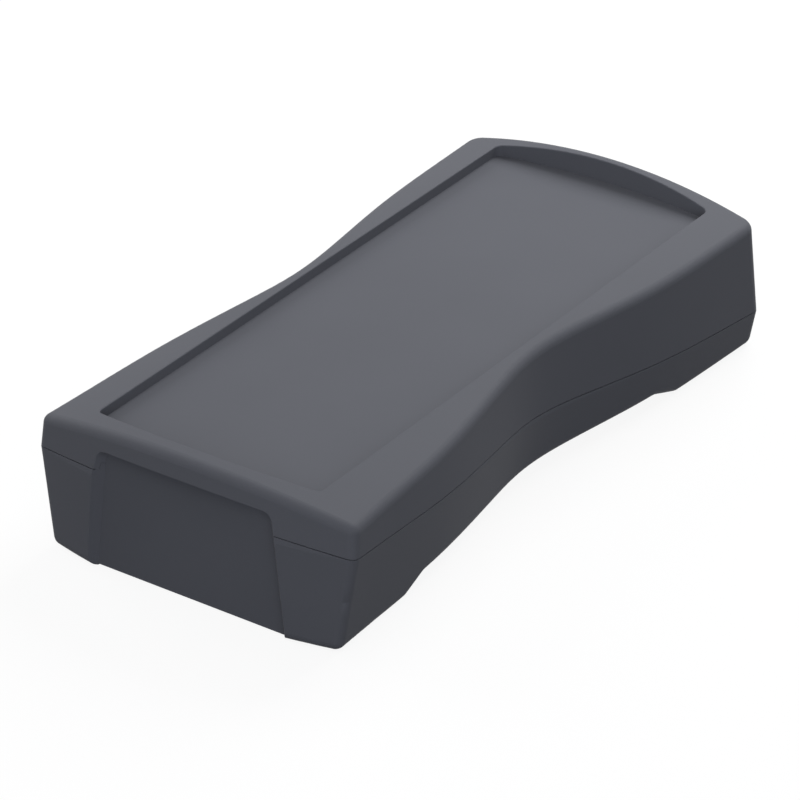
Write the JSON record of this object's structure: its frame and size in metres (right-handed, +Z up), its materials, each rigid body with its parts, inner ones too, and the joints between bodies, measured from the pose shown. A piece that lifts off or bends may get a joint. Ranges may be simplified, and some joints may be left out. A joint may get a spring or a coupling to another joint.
{
  "type": "injection moulded plastic housing",
  "caption": "Waisted handheld instrument case in moulded plastic: crowned top shell with a keypad recess, bottom shell, flat end panel and case screws.",
  "frame": {"origin": "centre of the footprint, on the plane that the feet stand on", "axes": "+X is the case's right side, +Y runs from the end with the panel to the plain end, +Z is up, out of the keypad recess"},
  "size_m": [0.0918, 0.1888, 0.0407],
  "materials": {
    "shell_plastic": "graphite grey ABS with a fine spark-eroded texture",
    "panel_plastic": "graphite grey ABS sheet moulding with a fine texture",
    "screw_steel": "zinc-plated steel"
  },
  "bodies": {
    "root": {"bottom_shell": "shell_plastic", "top_shell": "shell_plastic", "end_panel": "panel_plastic", "case_screws": "screw_steel"}
  },
  "joints": []
}
